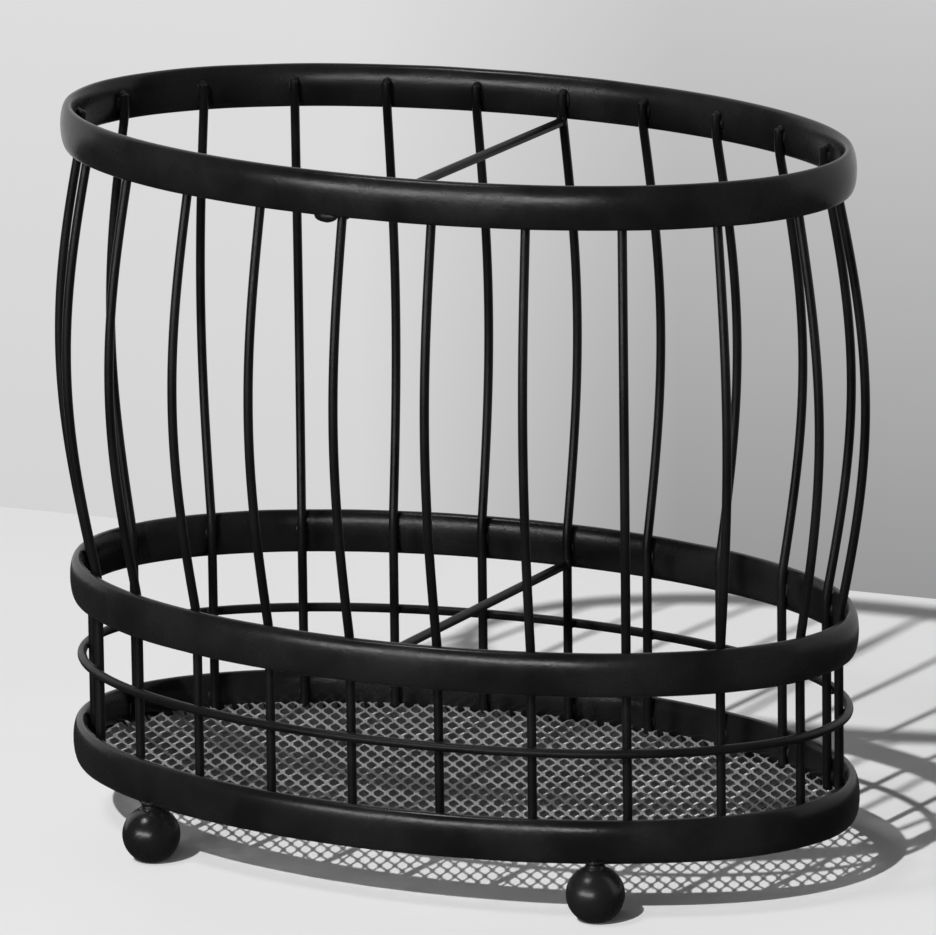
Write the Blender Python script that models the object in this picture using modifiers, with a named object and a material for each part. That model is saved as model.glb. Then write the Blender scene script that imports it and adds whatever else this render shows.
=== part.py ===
"""Oval wire basket on ball feet: three flattened bands, bowed uprights, a guard hoop, a two-rod divider and a mesh
floor. Metres, +Z up. The origin is on the ground under the middle of the oval, with +X along its length."""

import math

import bpy
import numpy as np

# The oval that the middle of each band follows
HALF_LENGTH = 0.1203
HALF_DEPTH = 0.0701
OVAL_POINTS = 60

# Bands: a flattened oval section, standing on edge
BAND_HEIGHT = 0.0128
BAND_THICKNESS = 0.0044
SECTION_POINTS = 10
SECTION_FULLNESS = 0.8

# Everything made of wire: uprights, hoop and divider
WIRE_DIAMETER = 0.0027
WELD_GAP = 0.0003

# Feet: balls with a small flat to stand on and a short neck up to the band
BALL_DIAMETER = 0.0168
BALL_FLAT_CUT = 0.0006
NECK_DIAMETER = 0.0052
FOOT_HEIGHT = 0.0163
FOOT_X = 0.0718
BALL_RINGS = 9
BALL_SIDES = 20

# Heights of the middles of the bands and the hoop above the ground
BOTTOM_BAND_Z = FOOT_HEIGHT + WELD_GAP + BAND_HEIGHT / 2
MIDDLE_BAND_Z = BOTTOM_BAND_Z + 0.0487
TOP_BAND_Z = BOTTOM_BAND_Z + 0.1831
HOOP_Z = BOTTOM_BAND_Z + 0.0255

# Uprights, inside the bands, straight below the middle band and bowed outwards above it
UPRIGHTS = 22
BOW = 0.0081
BOW_INSET = 0.0040
BOW_POINTS = 12
UPRIGHT_ABOVE_TOP_MIDDLE = 0.0015
UPRIGHT_OFFSET = -(BAND_THICKNESS / 2 + WELD_GAP + WIRE_DIAMETER / 2)
HOOP_OFFSET = UPRIGHT_OFFSET + WIRE_DIAMETER + WELD_GAP

# Divider rods, each from the front middle upright to the back middle one
UPPER_ROD_Z = TOP_BAND_Z - 0.0066
LOWER_ROD_Z = MIDDLE_BAND_Z - 0.0048

# Mesh floor, a thin sheet just above the bottom edge of the bottom band
FLOOR_THICKNESS = 0.0010
FLOOR_Z = BOTTOM_BAND_Z - BAND_HEIGHT / 2 + 0.0022
FLOOR_OFFSET = -BAND_THICKNESS / 2

BLACK_PAINT = (0.012, 0.012, 0.013, 1.0)
MESH_BLACK = (0.020, 0.020, 0.021, 1.0)


def clear_scene():
    for obj in list(bpy.data.objects):
        bpy.data.objects.remove(obj, do_unlink=True)


def new_collection(name):
    collection = bpy.data.collections.new(name)
    bpy.context.scene.collection.children.link(collection)
    return collection


def paint(name, colour, roughness):
    material = bpy.data.materials.new(name)
    material.use_nodes = True
    shader = material.node_tree.nodes["Principled BSDF"]
    shader.inputs["Base Color"].default_value = colour
    shader.inputs["Roughness"].default_value = roughness
    shader.inputs["Metallic"].default_value = 0.0
    return material


def oval_point(angle, offset=0.0):
    """A point at this parameter of the oval, moved outwards by offset along the oval's normal."""
    normal = np.array([HALF_DEPTH * math.cos(angle), HALF_LENGTH * math.sin(angle)])
    normal /= np.linalg.norm(normal)
    middle = np.array([HALF_LENGTH * math.cos(angle), HALF_DEPTH * math.sin(angle)])
    return middle + offset * normal


def angles_spaced_along_oval(count):
    """Parameters of points an equal distance apart along the oval, one of them in the middle of each long side."""
    fine = np.linspace(0.0, 2.0 * math.pi, 2001)
    speed = np.hypot(HALF_LENGTH * np.sin(fine), HALF_DEPTH * np.cos(fine))
    steps = (speed[1:] + speed[:-1]) / 2.0 * np.diff(fine)
    length = np.concatenate([[0.0], np.cumsum(steps)])
    wanted = (np.arange(count) + 0.5) / count * length[-1]
    return np.interp(wanted, length, fine)


def poly_curve(name, points, closed, dimensions="3D"):
    data = bpy.data.curves.new(name, "CURVE")
    data.dimensions = dimensions
    spline = data.splines.new("POLY")
    spline.points.add(len(points) - 1)
    for slot, point in zip(spline.points, points):
        slot.co = (*point, 1.0)
    spline.use_cyclic_u = closed
    spline.use_smooth = True
    return bpy.data.objects.new(name, data)


def oval_curve(name, z, offset, dimensions="3D"):
    """A closed curve that follows the oval at height z, with its points spread evenly."""
    angles = angles_spaced_along_oval(OVAL_POINTS)
    flat = [oval_point(angle, offset) for angle in angles]
    obj = poly_curve(name, [(x, y, 0.0) for x, y in flat], True, dimensions)
    obj.location.z = z
    return obj


def round_wire(name, points, closed=False):
    obj = poly_curve(name, points, closed)
    obj.data.bevel_depth = WIRE_DIAMETER / 2
    obj.data.bevel_resolution = 2
    obj.data.use_fill_caps = True
    return obj


def add(collection, obj, material):
    obj.data.materials.append(material)
    collection.objects.link(obj)


def band_section(guides):
    """The flattened oval that the bands' curves are bevelled with."""
    points = []
    for i in range(SECTION_POINTS):
        angle = -2.0 * math.pi * (i + 0.5) / SECTION_POINTS
        roundness = abs(math.cos(angle)) ** SECTION_FULLNESS
        across = BAND_THICKNESS / 2 * math.copysign(roundness, math.cos(angle))
        points.append((across, BAND_HEIGHT / 2 * math.sin(angle), 0.0))
    obj = poly_curve("band_section", points, True, "2D")
    obj.data.fill_mode = "NONE"
    obj.hide_render = True
    obj.display_type = "WIRE"
    guides.objects.link(obj)
    return obj


def build_bands(parts, guides):
    """Each band's section stands upright all the way round, which the Z_UP twist keeps it to."""
    section = band_section(guides)
    heights = {"top_band": TOP_BAND_Z, "middle_band": MIDDLE_BAND_Z, "bottom_band": BOTTOM_BAND_Z}
    for name, z in heights.items():
        obj = oval_curve(name, z, 0.0)
        obj.data.twist_mode = "Z_UP"
        obj.data.bevel_mode = "OBJECT"
        obj.data.bevel_object = section
        add(parts, obj, paint(name + "_paint", BLACK_PAINT, 0.38))


def build_hoop(parts):
    angles = angles_spaced_along_oval(OVAL_POINTS)
    points = [(*oval_point(angle, HOOP_OFFSET), HOOP_Z) for angle in angles]
    add(parts, round_wire("guard_hoop", points, True), paint("guard_hoop_paint", BLACK_PAINT, 0.42))


def upright_points(angle):
    """From the foot of an upright on the floor, straight up to the middle band, then along the bow to the top."""
    bow_bottom = MIDDLE_BAND_Z + BOW_INSET
    bow_top = TOP_BAND_Z - BOW_INSET
    heights = [FLOOR_Z + FLOOR_THICKNESS / 2 + WELD_GAP]
    heights += list(np.linspace(bow_bottom, bow_top, BOW_POINTS))
    heights.append(TOP_BAND_Z + UPRIGHT_ABOVE_TOP_MIDDLE)
    points = []
    for z in heights:
        share = min(max((z - bow_bottom) / (bow_top - bow_bottom), 0.0), 1.0)
        offset = UPRIGHT_OFFSET + BOW * math.sin(math.pi * share)
        points.append((*oval_point(angle, offset), z))
    return points


def build_uprights(parts):
    for number, angle in enumerate(angles_spaced_along_oval(UPRIGHTS), start=1):
        name = f"upright_{number:02d}"
        add(parts, round_wire(name, upright_points(angle)), paint(name + "_paint", BLACK_PAINT, 0.42))


def build_divider(parts):
    reach = HALF_DEPTH + UPRIGHT_OFFSET - WIRE_DIAMETER / 2 - WELD_GAP
    for name, z in (("upper_divider_rod", UPPER_ROD_Z), ("lower_divider_rod", LOWER_ROD_Z)):
        points = [(0.0, -reach, z), (0.0, reach, z)]
        add(parts, round_wire(name, points), paint(name + "_paint", BLACK_PAINT, 0.42))


def build_floor(parts):
    obj = oval_curve("mesh_floor", FLOOR_Z, FLOOR_OFFSET, "2D")
    obj.data.fill_mode = "BOTH"
    obj.data.extrude = FLOOR_THICKNESS / 2
    add(parts, obj, paint("mesh_floor_paint", MESH_BLACK, 0.5))


def foot_profile():
    """Half the outline of a foot, from the top of its neck, down the ball, to the middle of its flat."""
    radius = BALL_DIAMETER / 2
    centre = radius - BALL_FLAT_CUT
    start = math.acos(NECK_DIAMETER / 2 / radius)
    end = -math.asin(centre / radius)
    points = [(0.0, FOOT_HEIGHT), (NECK_DIAMETER / 2, FOOT_HEIGHT)]
    for tilt in np.linspace(start, end, BALL_RINGS):
        points.append((radius * math.cos(tilt), centre + radius * math.sin(tilt)))
    points.append((0.0, 0.0))
    return points


def build_feet(parts):
    profile = foot_profile()
    foot_y = HALF_DEPTH * math.sqrt(1.0 - (FOOT_X / HALF_LENGTH) ** 2)
    for depth_word, y in (("front", -foot_y), ("back", foot_y)):
        for side_word, x in (("left", -FOOT_X), ("right", FOOT_X)):
            name = f"{depth_word}_{side_word}_foot"
            mesh = bpy.data.meshes.new(name)
            edges = [(i, i + 1) for i in range(len(profile) - 1)]
            mesh.from_pydata([(radius, 0.0, z) for radius, z in profile], edges, [])
            obj = bpy.data.objects.new(name, mesh)
            obj.location = (x, y, 0.0)
            screw = obj.modifiers.new("turn", "SCREW")
            screw.steps = BALL_SIDES
            screw.render_steps = BALL_SIDES
            screw.use_merge_vertices = True
            screw.merge_threshold = 0.00001
            add(parts, obj, paint(name + "_paint", BLACK_PAINT, 0.3))


def main():
    clear_scene()
    parts = new_collection("oval_wire_basket")
    guides = new_collection("guides")
    build_bands(parts, guides)
    build_hoop(parts)
    build_uprights(parts)
    build_divider(parts)
    build_floor(parts)
    build_feet(parts)


main()
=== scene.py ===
"""Looks of the oval wire basket: smooth painted bands, wires, welds, ball feet and an expanded-metal floor, built
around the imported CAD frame. Metres, +Z up, the same frame as the CAD."""

import math
import random

import bmesh
import bpy
import numpy as np
from mathutils import Matrix, Vector, noise


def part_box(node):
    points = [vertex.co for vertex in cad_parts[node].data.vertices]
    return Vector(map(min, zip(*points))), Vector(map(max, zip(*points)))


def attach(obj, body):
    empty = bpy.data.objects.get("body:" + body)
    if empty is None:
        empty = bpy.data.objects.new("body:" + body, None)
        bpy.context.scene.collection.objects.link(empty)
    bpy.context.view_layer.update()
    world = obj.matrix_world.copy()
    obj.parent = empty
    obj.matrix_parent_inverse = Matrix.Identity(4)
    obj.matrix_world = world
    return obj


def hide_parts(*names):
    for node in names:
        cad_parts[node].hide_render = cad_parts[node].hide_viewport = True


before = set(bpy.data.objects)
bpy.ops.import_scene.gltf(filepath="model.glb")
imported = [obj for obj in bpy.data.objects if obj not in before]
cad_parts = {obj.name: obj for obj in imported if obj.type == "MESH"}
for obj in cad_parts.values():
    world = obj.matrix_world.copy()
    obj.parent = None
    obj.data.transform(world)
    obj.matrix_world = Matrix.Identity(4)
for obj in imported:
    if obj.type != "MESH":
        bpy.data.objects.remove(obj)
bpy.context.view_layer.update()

X_WAY, Y_WAY, Z_WAY = (1.0, 0.0, 0.0), (0.0, 1.0, 0.0), (0.0, 0.0, 1.0)

# The oval that the bands follow, and the sections, as in the CAD
HALF_LENGTH = 0.1203
HALF_DEPTH = 0.0701
BAND_HEIGHT = 0.0128
BAND_THICKNESS = 0.0044
SECTION_FULLNESS = 0.8
WIRE_RADIUS = 0.00135
UPRIGHTS = 22
BOW = 0.0081
BOW_INSET = 0.0040
BOW_ROUNDING = 0.0022
FOOT_X = 0.0718
FOOT_Y = HALF_DEPTH * math.sqrt(1.0 - (FOOT_X / HALF_LENGTH) ** 2)

# A foot: how much of the ball is cut off flat, where the neck takes over from it, and the neck, flared at both ends
BALL_CUT = 0.0006
BALL_TOP_RADIUS = 0.0030
NECK_WAIST = 0.0027
NECK_FLARE = 0.0006
NECK_SINK = 0.0009

# How deep the visible wires sink into what they are welded to, in place of the CAD's gaps
WELD_SINK = 0.00025
UPRIGHT_OFFSET = -(BAND_THICKNESS / 2 + WIRE_RADIUS - WELD_SINK)
HOOP_OFFSET = UPRIGHT_OFFSET + 2 * WIRE_RADIUS - WELD_SINK

# Unevenness of handwork: lumps in the bands' skin, and how far single uprights lean and how much their bows differ
LUMP_DEPTH = 0.00008
LUMP_HEIGHT_SHARE = 0.012
UPRIGHT_LEAN = 0.00018
UPRIGHT_SWELL = 0.02

# Weld beads: half their sizes outwards, along the band and upwards
BAND_BEAD_WIDTHS = (0.0007, 0.0008)
BAND_BEAD_HEIGHTS = (0.0015, 0.0022)
BAND_BEAD_SHIFT = 0.0005
TOP_BEAD_DROP = 0.0006
CAP_BEAD = (0.0009, 0.0013, 0.0010)
HOOP_BEAD = (0.0007, 0.0009, 0.0009)
ROD_BEAD = (0.0009, 0.0010, 0.0014)
FOOT_BEAD = (0.0008, 0.0012, 0.0007)
FOOT_BEAD_RING = 0.0020
FOOT_BEADS = 10
BEAD_ROUGHNESS = 0.16

# The drip of weld metal under the front of the top band
DRIP_X = -0.0039
DRIP_SIZES = (0.0038, 0.0017, 0.0021)

# Fineness of the meshes
OVAL_POINTS = 360
TRIM_POINTS = 180
SECTION_POINTS = 40
UPRIGHT_POINTS = 110
ROD_POINTS = 60
WIRE_SIDES = 20
CAP_RINGS = 5
LATHE_SIDES = 72
BALL_RINGS = 40
NECK_RINGS = 8

# Expanded-metal floor: diamonds whose long way runs at an angle to the basket's depth, and strands that lean back
DIAMOND_SHORT = 0.0043
DIAMOND_LONG = 0.0120
DIAMOND_TURN = math.radians(28.0)
STRAND_WIDTH = 0.00070
STRAND_DROP = 0.0021
STRAND_LEAN = (0.0001, 0.0021)
STRAND_TILT = 0.00008
KNUCKLE_LENGTH = 0.0036
SHOULDER_SHARE = 0.8
TRIM_OFFSET = 0.0002
TRIM_REACH = 0.004

# Paint: about how many clouds and streaks of tone and gloss there are to the metre, its specks, and its skin's depth
CLOUD_SCALE = 45.0
STREAK_SCALE = 260.0
SPECK_FINENESS = 2.3
SPECK_BRIGHTNESS = 1.9
SKIN_DEPTH = 0.00012

# Camera: turned about the vertical, tilted down, rolled a little, and stepped aside from the basket's middle
CAMERA_YAW = -0.4878
CAMERA_PITCH = 0.2473
CAMERA_ROLL = 0.0130
CAMERA_DISTANCE = 3.2924
CAMERA_STEP_RIGHT = 0.0027
CAMERA_STEP_UP = 0.1079
CAMERA_LENS = 437.7
CAMERA_SENSOR = 36.0

# Light: a hard sun from the front for the shadows, softboxes for the gleams, and a little from all round
SUN_TRAVEL = (0.06, 1.055, -1.0)
SUN_STRENGTH = 3.3
SUN_ANGLE = math.radians(1.3)
LIGHT_TARGET = (0.0, 0.0, 0.1)
WORLD_GREY = 0.040

# The table top, and the backdrop, a glowing sheet of painted light with painted shade: lighter to the left and upwards,
# darker to the right and towards its foot
TABLE_REACH = 9.0
TABLE_DARK = (0.78, 0.78, 0.78)
TABLE_LIGHT = (0.83, 0.83, 0.83)
WALL_FOOT = (0.0, 0.3035, 0.0)
WALL_TURN = math.radians(4.0)
WALL_REACH = 3.0
WALL_HEIGHT = 2.0
WALL_LEFT_LOW, WALL_LEFT_HIGH = (0.66, 0.66, 0.66), (0.74, 0.74, 0.74)
WALL_RIGHT_LOW, WALL_RIGHT_HIGH = (0.31, 0.31, 0.31), (0.60, 0.60, 0.60)
WALL_SHADE_X = (-0.19, -0.08)
WALL_SHADE_Z = (0.0, 0.2)

random.seed(7)


def middle_height(node):
    low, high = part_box(node)
    return (low.z + high.z) / 2


BAND_Z = {name: middle_height(name) for name in ("bottom_band", "middle_band", "top_band")}
HOOP_Z = middle_height("guard_hoop")
FLOOR_Z = middle_height("mesh_floor")
UPPER_ROD_Z = middle_height("upper_divider_rod")
LOWER_ROD_Z = middle_height("lower_divider_rod")
UPRIGHT_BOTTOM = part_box("upright_01")[0].z
UPRIGHT_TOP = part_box("upright_01")[1].z
BALL_RADIUS = (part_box("front_left_foot")[1].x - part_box("front_left_foot")[0].x) / 2


# ---------------------------------------------------------------- materials

def new_material(name):
    material = bpy.data.materials.new(name)
    material.use_nodes = True
    return material, material.node_tree


def object_place(tree):
    return tree.nodes.new("ShaderNodeTexCoord").outputs["Object"]


def noise_node(tree, coordinates, scale, detail, roughness=0.5):
    node = tree.nodes.new("ShaderNodeTexNoise")
    node.inputs["Scale"].default_value = scale
    node.inputs["Detail"].default_value = detail
    node.inputs["Roughness"].default_value = roughness
    tree.links.new(coordinates, node.inputs["Vector"])
    return node.outputs["Fac"]


def ranged(tree, value, from_low, from_high, to_low, to_high):
    """The value with one range of it stretched or squeezed onto another, and held at its ends."""
    node = tree.nodes.new("ShaderNodeMapRange")
    node.inputs["From Min"].default_value = from_low
    node.inputs["From Max"].default_value = from_high
    node.inputs["To Min"].default_value = to_low
    node.inputs["To Max"].default_value = to_high
    tree.links.new(value, node.inputs["Value"])
    return node.outputs["Result"]


def combined(tree, operation, first, second):
    """The product of two values, or their sum held between 0 and 1."""
    node = tree.nodes.new("ShaderNodeMath")
    node.operation = operation
    node.use_clamp = operation == "ADD"
    tree.links.new(first, node.inputs[0])
    tree.links.new(second, node.inputs[1])
    return node.outputs["Value"]


def mixed(tree, factor, first, second):
    """A blend from the first colour to the second. Each is three numbers or another node's output."""
    node = tree.nodes.new("ShaderNodeMix")
    node.data_type = "RGBA"
    tree.links.new(factor, node.inputs["Factor"])
    for name, value in (("A", first), ("B", second)):
        socket = next(s for s in node.inputs if s.name == name and s.type == "RGBA")
        if isinstance(value, tuple):
            socket.default_value = (*value, 1.0)
        else:
            tree.links.new(value, socket)
    return next(s for s in node.outputs if s.type == "RGBA")


def satin_paint(name, dark, light, worn, roughness, grain, bump, wear, gleam):
    """Sprayed satin paint: cloudy tone and gloss, a fine orange-peel skin, specks, and thin paint along edges."""
    material, tree = new_material(name)
    shader = tree.nodes["Principled BSDF"]
    place = object_place(tree)
    clouds = noise_node(tree, place, CLOUD_SCALE, 4.0)
    streaks = noise_node(tree, place, STREAK_SCALE, 3.0, 0.6)
    peel = noise_node(tree, place, grain, 2.0)
    specks = noise_node(tree, place, grain * SPECK_FINENESS, 1.0)

    colour = mixed(tree, ranged(tree, clouds, 0.35, 0.65, 0.0, 1.0), dark, light)
    dust = ranged(tree, specks, 0.66, 0.74, 0.0, 0.35)
    colour = mixed(tree, dust, colour, tuple(SPECK_BRIGHTNESS * c for c in light))
    edge = tree.nodes.new("ShaderNodeNewGeometry").outputs["Pointiness"]
    edge = ranged(tree, edge, 0.53, 0.60, 0.0, wear)
    patches = ranged(tree, streaks, 0.45, 0.62, 0.0, 1.0)
    colour = mixed(tree, combined(tree, "MULTIPLY", edge, patches), colour, worn)
    tree.links.new(colour, shader.inputs["Base Color"])

    gloss = ranged(tree, clouds, 0.3, 0.7, roughness - 0.05, roughness + 0.05)
    gloss = combined(tree, "ADD", gloss, ranged(tree, streaks, 0.3, 0.7, -0.03, 0.03))
    tree.links.new(gloss, shader.inputs["Roughness"])
    shader.inputs["Specular IOR Level"].default_value = gleam
    shader.inputs["IOR"].default_value = 1.5

    height = combined(tree, "ADD", peel, ranged(tree, clouds, 0.0, 1.0, 0.0, 0.6))
    bumped = tree.nodes.new("ShaderNodeBump")
    bumped.inputs["Strength"].default_value = bump
    bumped.inputs["Distance"].default_value = SKIN_DEPTH
    tree.links.new(height, bumped.inputs["Height"])
    tree.links.new(bumped.outputs["Normal"], shader.inputs["Normal"])
    return material


WORN_BLACK = (0.020, 0.020, 0.021)
BAND_PAINT = satin_paint(
    "band_paint", dark=(0.0040, 0.0040, 0.0042), light=(0.0090, 0.0090, 0.0092), worn=WORN_BLACK,
    roughness=0.25, grain=900.0, bump=0.30, wear=0.4, gleam=0.32,
)
WIRE_PAINT = satin_paint(
    "wire_paint", dark=(0.0030, 0.0030, 0.0032), light=(0.0060, 0.0060, 0.0062), worn=WORN_BLACK,
    roughness=0.36, grain=1100.0, bump=0.3, wear=0.3, gleam=0.25,
)
FOOT_PAINT = satin_paint(
    "foot_paint", dark=(0.0050, 0.0050, 0.0052), light=(0.0080, 0.0080, 0.0082), worn=WORN_BLACK,
    roughness=0.28, grain=800.0, bump=0.25, wear=0.4, gleam=0.60,
)
WELD_PAINT = satin_paint(
    "weld_paint", dark=(0.003, 0.003, 0.0032), light=(0.007, 0.007, 0.0072), worn=WORN_BLACK,
    roughness=0.36, grain=1600.0, bump=0.6, wear=0.4, gleam=0.30,
)
# The floor mesh's grey is partly its own colour and partly painted light: it is set lighter than its paint to make up
# for the shade on its strands
MESH_PAINT = satin_paint(
    "mesh_paint", dark=(0.175, 0.175, 0.176), light=(0.235, 0.235, 0.237), worn=(0.25, 0.25, 0.25),
    roughness=0.42, grain=1500.0, bump=0.4, wear=0.4, gleam=0.50,
)


# ---------------------------------------------------------------- shapes

def show(obj):
    bpy.context.scene.collection.objects.link(obj)
    return obj


def oval_point(angle, offset=0.0):
    """A point at this parameter of the oval, moved outwards by offset along the oval's normal, and that normal."""
    normal = np.array([HALF_DEPTH * math.cos(angle), HALF_LENGTH * math.sin(angle)])
    normal /= np.linalg.norm(normal)
    middle = np.array([HALF_LENGTH * math.cos(angle), HALF_DEPTH * math.sin(angle)])
    return middle + offset * normal, normal


def angles_spaced_along_oval(count):
    """Parameters of points an equal distance apart along the oval, half a step off its right end."""
    fine = np.linspace(0.0, 2.0 * math.pi, 2001)
    speed = np.hypot(HALF_LENGTH * np.sin(fine), HALF_DEPTH * np.cos(fine))
    steps = (speed[1:] + speed[:-1]) / 2.0 * np.diff(fine)
    length = np.concatenate([[0.0], np.cumsum(steps)])
    wanted = (np.arange(count) + 0.5) / count * length[-1]
    return np.interp(wanted, length, fine)


def circle_turns(count):
    return np.linspace(0.0, 2 * math.pi, count, endpoint=False)


def piece(obj, paint, slot, *nodes):
    """Makes obj a part of the basket: painted, riding on the one body, and standing for these CAD nodes."""
    show(obj)
    obj.data.materials.append(paint)
    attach(obj, "root")
    if nodes:
        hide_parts(*nodes)
    return obj


def skinned(name, rings, closed):
    """A body over rings of points. An open one is closed by a fan at each end."""
    rings = np.asarray(rings)
    count, around = rings.shape[:2]
    points = [tuple(p) for p in rings.reshape(-1, 3)]
    faces = []
    for i in range(count if closed else count - 1):
        here, there = i * around, (i + 1) % count * around
        for j in range(around):
            k = (j + 1) % around
            faces.append((here + j, here + k, there + k, there + j))
    if not closed:
        points += [tuple(rings[0].mean(axis=0)), tuple(rings[-1].mean(axis=0))]
        first, last = len(points) - 2, len(points) - 1
        end = (count - 1) * around
        for j in range(around):
            k = (j + 1) % around
            faces.append((first, k, j))
            faces.append((last, end + j, end + k))
    mesh = bpy.data.meshes.new(name)
    mesh.from_pydata(points, [], faces)
    mesh.shade_smooth()
    mesh.update()
    return bpy.data.objects.new(name, mesh)


def wire(name, points, side, closed=False):
    """A round wire along points. side is a direction that is square to the whole wire. An open one has domed ends."""
    points = np.asarray(points, float)
    side = np.asarray(side, float)
    if closed:
        tangents = np.roll(points, -1, axis=0) - np.roll(points, 1, axis=0)
    else:
        tangents = np.gradient(points, axis=0)
    tangents /= np.linalg.norm(tangents, axis=1)[:, None]
    radii = np.full(len(points), WIRE_RADIUS)
    if not closed:
        domes = np.linspace(0.0, math.pi / 2, CAP_RINGS + 1)[1:]
        out = 0.6 * WIRE_RADIUS * np.sin(domes)
        shrink = WIRE_RADIUS * np.cos(domes) + 0.03 * WIRE_RADIUS
        before = points[0] - out[::-1, None] * tangents[0]
        after = points[-1] + out[:, None] * tangents[-1]
        points = np.concatenate([before, points, after])
        radii = np.concatenate([shrink[::-1], radii, shrink])
        tangents = np.concatenate(
            [np.repeat(tangents[:1], CAP_RINGS, 0), tangents, np.repeat(tangents[-1:], CAP_RINGS, 0)]
        )
    across = np.cross(tangents, side)
    turns = circle_turns(WIRE_SIDES)
    rings = (
        points[:, None]
        + radii[:, None, None] * np.cos(turns)[None, :, None] * side
        + radii[:, None, None] * np.sin(turns)[None, :, None] * across[:, None]
    )
    return skinned(name, rings, closed)


def build_bands():
    """Flattened bars standing on edge, with a skin that is not quite even."""
    turns = circle_turns(SECTION_POINTS)
    across = BAND_THICKNESS / 2 * np.sign(np.cos(turns)) * np.abs(np.cos(turns)) ** SECTION_FULLNESS
    up = BAND_HEIGHT / 2 * np.sin(turns)
    for node, z in BAND_Z.items():
        rings = []
        for angle in angles_spaced_along_oval(OVAL_POINTS):
            ring = []
            for a, u in zip(across, up):
                spot, normal = oval_point(angle, a)
                lump = noise.noise(Vector((spot[0] * 60, spot[1] * 60, (u + z) * 90)))
                spot = spot + normal * LUMP_DEPTH * lump
                ring.append((spot[0], spot[1], z + u * (1 + LUMP_HEIGHT_SHARE * lump)))
            rings.append(ring)
        piece(skinned(node + "_bar", rings, True), BAND_PAINT, "black_paint", node)


def bow_offset(z):
    """How far outside the straight part an upright stands at height z, with the bends at the bow's ends rounded."""
    bottom = BAND_Z["middle_band"] + BOW_INSET
    top = BAND_Z["top_band"] - BOW_INSET
    spread = np.linspace(-2.0, 2.0, 17)
    near = z + spread * BOW_ROUNDING
    weights = np.exp(-spread ** 2)
    share = np.clip((near - bottom) / (top - bottom), 0.0, 1.0)
    return float(np.sum(weights * BOW * np.sin(math.pi * share)) / np.sum(weights))


def build_uprights():
    for number, angle in enumerate(angles_spaced_along_oval(UPRIGHTS), start=1):
        lean = random.uniform(-1.0, 1.0) * UPRIGHT_LEAN
        swell = 1.0 + random.uniform(-1.0, 1.0) * UPRIGHT_SWELL
        along = np.array([-HALF_LENGTH * math.sin(angle), HALF_DEPTH * math.cos(angle)])
        along /= np.linalg.norm(along)
        points = []
        for z in np.linspace(UPRIGHT_BOTTOM, UPRIGHT_TOP, UPRIGHT_POINTS):
            spot, _ = oval_point(angle, UPRIGHT_OFFSET + swell * bow_offset(z))
            share = (z - UPRIGHT_BOTTOM) / (UPRIGHT_TOP - UPRIGHT_BOTTOM)
            spot = spot + along * lean * math.sin(math.pi * share)
            points.append((spot[0], spot[1], z))
        obj = wire(f"upright_wire_{number:02d}", points, (along[0], along[1], 0.0))
        piece(obj, WIRE_PAINT, "black_paint", f"upright_{number:02d}")


def build_hoop():
    points = []
    for angle in angles_spaced_along_oval(OVAL_POINTS):
        spot, _ = oval_point(angle, HOOP_OFFSET)
        points.append((spot[0], spot[1], HOOP_Z))
    piece(wire("guard_hoop_wire", points, Z_WAY, closed=True), WIRE_PAINT, "black_paint", "guard_hoop")


def rod_reach(z):
    """Half the length of a divider rod at height z: it ends in the two middle uprights."""
    return HALF_DEPTH + UPRIGHT_OFFSET + bow_offset(z) - WIRE_RADIUS + WELD_SINK


def build_divider():
    for name, node, z in (
        ("upper_rod_wire", "upper_divider_rod", UPPER_ROD_Z),
        ("lower_rod_wire", "lower_divider_rod", LOWER_ROD_Z),
    ):
        points = [(0.0, y, z) for y in np.linspace(-rod_reach(z), rod_reach(z), ROD_POINTS)]
        piece(wire(name, points, Z_WAY), WIRE_PAINT, "black_paint", node)


def foot_outline(band_bottom):
    """Half the outline of a foot, from the flat that it stands on, up the ball and the neck, into the band."""
    centre = BALL_RADIUS - BALL_CUT
    low = -math.asin(centre / BALL_RADIUS)
    high = math.acos(BALL_TOP_RADIUS / BALL_RADIUS)
    flat = BALL_RADIUS * math.cos(low)
    outline = [(flat * share, 0.0) for share in (0.35, 0.7, 0.93)]
    for tilt in np.linspace(low, high, BALL_RINGS):
        outline.append((BALL_RADIUS * math.cos(tilt), centre + BALL_RADIUS * math.sin(tilt)))
    neck = centre + BALL_RADIUS * math.sin(high)
    for share in np.linspace(0.15, 1.0, NECK_RINGS):
        z = neck + (band_bottom + NECK_SINK - neck) * share
        outline.append((NECK_WAIST + NECK_FLARE * (2 * share - 1) ** 2, z))
    return outline


def build_feet():
    outline = foot_outline(BAND_Z["bottom_band"] - BAND_HEIGHT / 2)
    turns = circle_turns(LATHE_SIDES)
    for depth_word, y in (("front", -FOOT_Y), ("back", FOOT_Y)):
        for side_word, x in (("left", -FOOT_X), ("right", FOOT_X)):
            rings = [
                [(x + radius * math.cos(turn), y + radius * math.sin(turn), z) for turn in turns]
                for radius, z in outline
            ]
            name = f"{depth_word}_{side_word}"
            piece(skinned(name + "_ball", rings, False), FOOT_PAINT, "black_paint", name + "_foot")


# ---------------------------------------------------------------- welds

def add_bead(mesh, middle, directions, sizes):
    """A lump of weld metal, stretched by sizes along three directions, with an uneven skin."""
    lump = bmesh.ops.create_icosphere(mesh, subdivisions=3, radius=1.0)
    shift = Vector([random.uniform(-50, 50) for _ in range(3)])
    for vertex in lump["verts"]:
        rough = 1.0 + BEAD_ROUGHNESS * noise.noise(vertex.co * 1.1 + shift)
        place = Vector(middle)
        for direction, size, part in zip(directions, sizes, vertex.co):
            place += Vector(direction) * (size * part * rough)
        vertex.co = place


def bead_piece(name, mesh):
    data = bpy.data.meshes.new(name)
    mesh.to_mesh(data)
    mesh.free()
    data.shade_smooth()
    piece(bpy.data.objects.new(name, data), WELD_PAINT, "black_paint")


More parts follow.
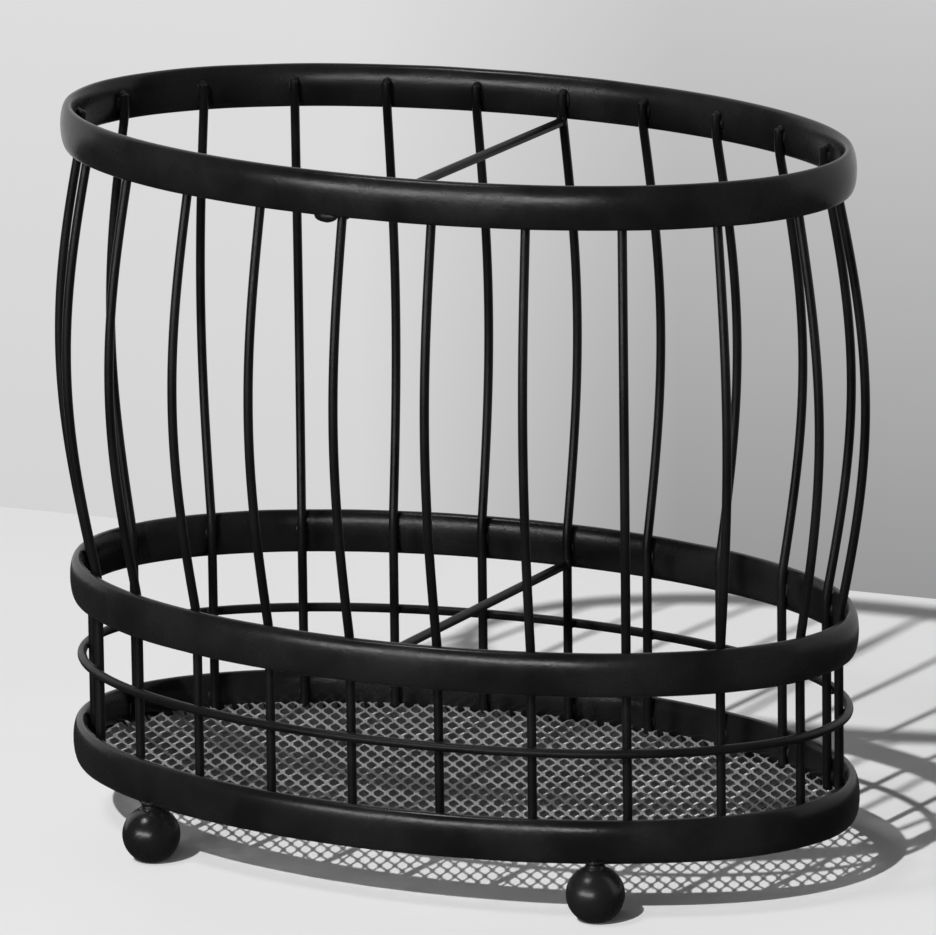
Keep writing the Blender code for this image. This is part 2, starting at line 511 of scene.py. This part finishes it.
def upright_place(angle, z, out):
    """A point of an upright at height z, moved out from its middle, with the directions out, along and up there."""
    spot, normal = oval_point(angle, UPRIGHT_OFFSET + bow_offset(z) + out)
    out_way = (normal[0], normal[1], 0.0)
    along = (-normal[1], normal[0], 0.0)
    return Vector((spot[0], spot[1], z)), (out_way, along, Z_WAY)


def build_band_welds():
    """Where uprights meet a band there is a bead down each side of the wire; the top ends are capped by one as well."""
    for node, z in BAND_Z.items():
        top = node == "top_band"
        mesh = bmesh.new()
        for angle in angles_spaced_along_oval(UPRIGHTS):
            level = z - TOP_BEAD_DROP if top else z
            for side in (-1, 1):
                height = level + random.uniform(-1, 1) * BAND_BEAD_SHIFT
                middle, ways = upright_place(angle, height, WIRE_RADIUS - 0.0002)
                middle += Vector(ways[1]) * side * (WIRE_RADIUS - 0.0001)
                tall = random.uniform(*BAND_BEAD_HEIGHTS)
                add_bead(mesh, middle, ways, (*BAND_BEAD_WIDTHS, tall))
            if top:
                middle, ways = upright_place(angle, UPRIGHT_TOP + 0.0004, WIRE_RADIUS - 0.0005)
                add_bead(mesh, middle, ways, CAP_BEAD)
        if top:
            drip = Vector((DRIP_X, -HALF_DEPTH + 0.0004, z - BAND_HEIGHT / 2 + 0.0002))
            add_bead(mesh, drip, (X_WAY, Y_WAY, Z_WAY), DRIP_SIZES)
        bead_piece(node + "_welds", mesh)


def build_hoop_welds():
    """The hoop is welded to each upright on both sides of the crossing."""
    mesh = bmesh.new()
    for angle in angles_spaced_along_oval(UPRIGHTS):
        for side in (-1, 1):
            middle, ways = upright_place(angle, HOOP_Z, WIRE_RADIUS)
            middle += Vector(ways[1]) * side * 0.0009
            middle.z += side * 0.0004
            add_bead(mesh, middle, ways, HOOP_BEAD)
    bead_piece("guard_hoop_welds", mesh)


def build_rod_welds():
    """Each end of a rod is welded to its upright by a bead on both sides."""
    mesh = bmesh.new()
    for z in (UPPER_ROD_Z, LOWER_ROD_Z):
        for end in (-1, 1):
            for side in (-1, 1):
                middle = Vector((side * 0.0009, end * (rod_reach(z) - 0.0001), z + side * 0.0002))
                add_bead(mesh, middle, (X_WAY, Y_WAY, Z_WAY), ROD_BEAD)
    bead_piece("divider_welds", mesh)


def build_foot_welds():
    """Each foot's neck is welded to the band by a ring of small beads."""
    mesh = bmesh.new()
    level = BAND_Z["bottom_band"] - BAND_HEIGHT / 2 + 0.0002
    for y in (-FOOT_Y, FOOT_Y):
        for x in (-FOOT_X, FOOT_X):
            for step in range(FOOT_BEADS):
                turn = 2 * math.pi * (step + random.uniform(-0.15, 0.15)) / FOOT_BEADS
                way = Vector((math.cos(turn), math.sin(turn), 0.0))
                middle = Vector((x, y, level)) + way * FOOT_BEAD_RING
                add_bead(mesh, middle, (way, (-way.y, way.x, 0.0), Z_WAY), FOOT_BEAD)
    bead_piece("foot_welds", mesh)


# ---------------------------------------------------------------- mesh floor

def diamond_cell():
    """The points and faces of one diamond of the mesh: four strands round a hole, with knuckles at its long ends."""
    half_short, half_long = DIAMOND_SHORT / 2, DIAMOND_LONG / 2
    knuckle = KNUCKLE_LENGTH / 2
    side = half_short - STRAND_WIDTH
    tip = half_long - knuckle
    shoulder = knuckle * SHOULDER_SHARE
    corners = [(0, half_long, 0), (half_short, 0, 0), (0, -half_long, 0), (-half_short, 0, 0)]
    hole = [
        (0, tip, 0), (side, shoulder, -STRAND_TILT), (side, -shoulder, -STRAND_TILT),
        (0, -tip, 0), (-side, -shoulder, STRAND_TILT), (-side, shoulder, STRAND_TILT),
    ]
    faces = [(4, 5, 1, 0), (5, 6, 1), (6, 7, 2, 1), (7, 8, 3, 2), (8, 9, 3), (9, 4, 0, 3)]
    return corners + hole, faces


def net_sheet(name):
    """A sheet of diamonds that covers the oval, half the strands' drop above the floor's middle height."""
    cell, cell_faces = diamond_cell()
    half_long = DIAMOND_LONG / 2
    turn = Matrix.Rotation(DIAMOND_TURN, 3, "Z")
    lean = Vector(STRAND_LEAN)
    points, faces = [], []
    reach = HALF_LENGTH + DIAMOND_LONG
    rows = int(reach / half_long) + 1
    columns = int(reach / DIAMOND_SHORT) + 1
    for row in range(-rows, rows + 1):
        for column in range(-columns, columns + 1):
            middle = Vector(((column + row % 2 / 2) * DIAMOND_SHORT, row * half_long, 0.0))
            placed = [turn @ (middle + Vector(point)) for point in cell]
            if not any((p.x / HALF_LENGTH) ** 2 + (p.y / HALF_DEPTH) ** 2 < 1.0 for p in placed):
                continue
            start = len(points)
            points += [(p.x - lean.x / 2, p.y - lean.y / 2, p.z + FLOOR_Z + STRAND_DROP / 2) for p in placed]
            faces += [tuple(start + i for i in reversed(face)) for face in cell_faces]
    data = bpy.data.meshes.new(name)
    data.from_pydata(points, [], faces)
    return data


def build_mesh_floor():
    """Expanded metal: a sheet slit and stretched into diamonds, whose strands stand on edge and lean like louvres."""
    data = net_sheet("expanded_metal_floor")
    mesh = bmesh.new()
    mesh.from_mesh(data)
    bmesh.ops.remove_doubles(mesh, verts=mesh.verts, dist=1e-6)
    lower = bmesh.ops.extrude_face_region(mesh, geom=mesh.faces[:], use_keep_orig=True)["geom"]
    lower = [part for part in lower if isinstance(part, bmesh.types.BMVert)]
    bmesh.ops.translate(mesh, verts=lower, vec=(*STRAND_LEAN, -STRAND_DROP))
    bmesh.ops.recalc_face_normals(mesh, faces=mesh.faces)
    mesh.to_mesh(data)
    mesh.free()
    obj = bpy.data.objects.new("expanded_metal_floor", data)
    piece(obj, MESH_PAINT, "mesh_paint", "mesh_floor")
    trim_to_oval(obj)


def trim_to_oval(obj):
    """Cuts away what stands outside the oval, and applies the cut."""
    angles = angles_spaced_along_oval(TRIM_POINTS)
    rings = [
        [(*oval_point(angle, TRIM_OFFSET)[0], z) for angle in angles]
        for z in (FLOOR_Z - TRIM_REACH, FLOOR_Z + TRIM_REACH)
    ]
    trim = show(skinned("floor_trim", rings, False))
    cut = obj.modifiers.new("trim", "BOOLEAN")
    cut.operation = "INTERSECT"
    cut.solver = "EXACT"
    cut.object = trim
    bpy.context.view_layer.update()
    graph = bpy.context.evaluated_depsgraph_get()
    done = bpy.data.meshes.new_from_object(obj.evaluated_get(graph))
    obj.modifiers.clear()
    obj.data = done
    bpy.data.objects.remove(trim)


# ---------------------------------------------------------------- studio

def build_camera():
    yaw, pitch, roll = CAMERA_YAW, CAMERA_PITCH, CAMERA_ROLL
    right = Vector((math.cos(yaw), -math.sin(yaw), 0.0))
    up = Vector((math.sin(pitch) * math.sin(yaw), math.sin(pitch) * math.cos(yaw), math.cos(pitch)))
    ahead = Vector((math.cos(pitch) * math.sin(yaw), math.cos(pitch) * math.cos(yaw), -math.sin(pitch)))
    place = CAMERA_STEP_RIGHT * right + CAMERA_STEP_UP * up - CAMERA_DISTANCE * ahead
    tilted_right = right * math.cos(roll) - up * math.sin(roll)
    tilted_up = right * math.sin(roll) + up * math.cos(roll)
    axes = Matrix((tilted_right, tilted_up, -ahead)).transposed()
    data = bpy.data.cameras.new("camera")
    data.lens = CAMERA_LENS
    data.sensor_width = CAMERA_SENSOR
    data.clip_start, data.clip_end = 0.1, 60.0
    camera = show(bpy.data.objects.new("camera", data))
    camera.matrix_world = Matrix.Translation(place) @ axes.to_4x4()
    bpy.context.scene.camera = camera


def stage_sheet(name, corners, material):
    """One flat sheet of the studio, which isn't part of the basket."""
    mesh = bpy.data.meshes.new(name)
    mesh.from_pydata(corners, [], [(0, 1, 2, 3)])
    mesh.materials.append(material)
    sheet = show(bpy.data.objects.new(name, mesh))
    return sheet


def build_floor():
    """A pale table top, matt, with a faint cloudiness. It isn't mirrored in the paint, which keeps the black deep."""
    material, tree = new_material("table_white")
    shader = tree.nodes["Principled BSDF"]
    clouds = noise_node(tree, object_place(tree), 9.0, 5.0)
    tree.links.new(mixed(tree, clouds, TABLE_DARK, TABLE_LIGHT), shader.inputs["Base Color"])
    shader.inputs["Roughness"].default_value = 0.75
    far = TABLE_REACH
    corners = [(-far, -far, 0.0), (far, -far, 0.0), (far, far, 0.0), (-far, far, 0.0)]
    floor = stage_sheet("table_top", corners, material)
    floor.visible_glossy = False


def build_backdrop():
    """A pale backdrop behind the basket that glows with painted light, with painted shade making it darker to the right
    and towards its foot. It shows from the front only, and casts no light or shadow.
    """
    material, tree = new_material("backdrop_pale")
    tree.nodes.remove(tree.nodes["Principled BSDF"])
    split = tree.nodes.new("ShaderNodeSeparateXYZ")
    tree.links.new(object_place(tree), split.inputs["Vector"])
    # Painted shade: the glow gets darker towards the backdrop's foot and towards the right
    rise = ranged(tree, split.outputs["Z"], *WALL_SHADE_Z, 0.0, 1.0)
    aside = ranged(tree, split.outputs["X"], *WALL_SHADE_X, 0.0, 1.0)
    left = mixed(tree, rise, WALL_LEFT_LOW, WALL_LEFT_HIGH)
    right = mixed(tree, rise, WALL_RIGHT_LOW, WALL_RIGHT_HIGH)
    glow = tree.nodes.new("ShaderNodeEmission")
    tree.links.new(mixed(tree, aside, left, right), glow.inputs["Color"])
    clear = tree.nodes.new("ShaderNodeBsdfTransparent")
    choice = tree.nodes.new("ShaderNodeMixShader")
    tree.links.new(tree.nodes.new("ShaderNodeNewGeometry").outputs["Backfacing"], choice.inputs["Fac"])
    tree.links.new(glow.outputs["Emission"], choice.inputs[1])
    tree.links.new(clear.outputs["BSDF"], choice.inputs[2])
    tree.links.new(choice.outputs["Shader"], tree.nodes["Material Output"].inputs["Surface"])
    wide, tall = WALL_REACH, WALL_HEIGHT
    corners = [(-wide, 0.0, 0.0), (wide, 0.0, 0.0), (wide, 0.0, tall), (-wide, 0.0, tall)]
    wall = stage_sheet("backdrop", corners, material)
    wall.location = WALL_FOOT
    wall.rotation_euler.z = WALL_TURN
    wall.visible_shadow = False
    wall.visible_diffuse = False


def show_light(data, shines_along):
    light = show(bpy.data.objects.new(data.name, data))
    light.rotation_mode = "QUATERNION"
    light.rotation_quaternion = shines_along.to_track_quat("-Z", "Y")
    return light


def add_softbox(name, place, size, radiance):
    """A rectangular light that faces the basket's middle and glows with this radiance."""
    data = bpy.data.lights.new(name, "AREA")
    data.shape = "RECTANGLE"
    data.size, data.size_y = size
    data.energy = radiance * math.pi * size[0] * size[1]
    box = show_light(data, Vector(LIGHT_TARGET) - Vector(place))
    box.location = place
    return box


def build_lights():
    """The sun makes light and shadow but no gleams, and the back softbox makes gleams only."""
    data = bpy.data.lights.new("sun", "SUN")
    data.energy = SUN_STRENGTH
    data.angle = SUN_ANGLE
    sun = show_light(data, Vector(SUN_TRAVEL))
    sun.visible_glossy = False
    add_softbox("low_softbox", place=(-0.16, -1.29, 0.27), size=(1.35, 0.08), radiance=22.0)
    add_softbox("high_softbox", place=(-0.42, -0.68, 1.38), size=(0.26, 0.26), radiance=17.0)
    back = add_softbox("back_softbox", place=(0.45, 1.45, 0.45), size=(0.90, 0.50), radiance=3.0)
    back.visible_diffuse = False
    world = bpy.data.worlds.new("studio")
    world.use_nodes = True
    background = world.node_tree.nodes["Background"]
    background.inputs["Color"].default_value = (WORLD_GREY, WORLD_GREY, WORLD_GREY, 1.0)
    bpy.context.scene.world = world
    bpy.context.scene.view_settings.view_transform = "Standard"


build_camera()
build_floor()
build_backdrop()
build_lights()
build_bands()
build_hoop()
build_uprights()
build_divider()
build_feet()
build_band_welds()
build_hoop_welds()
build_rod_welds()
build_foot_welds()
build_mesh_floor()
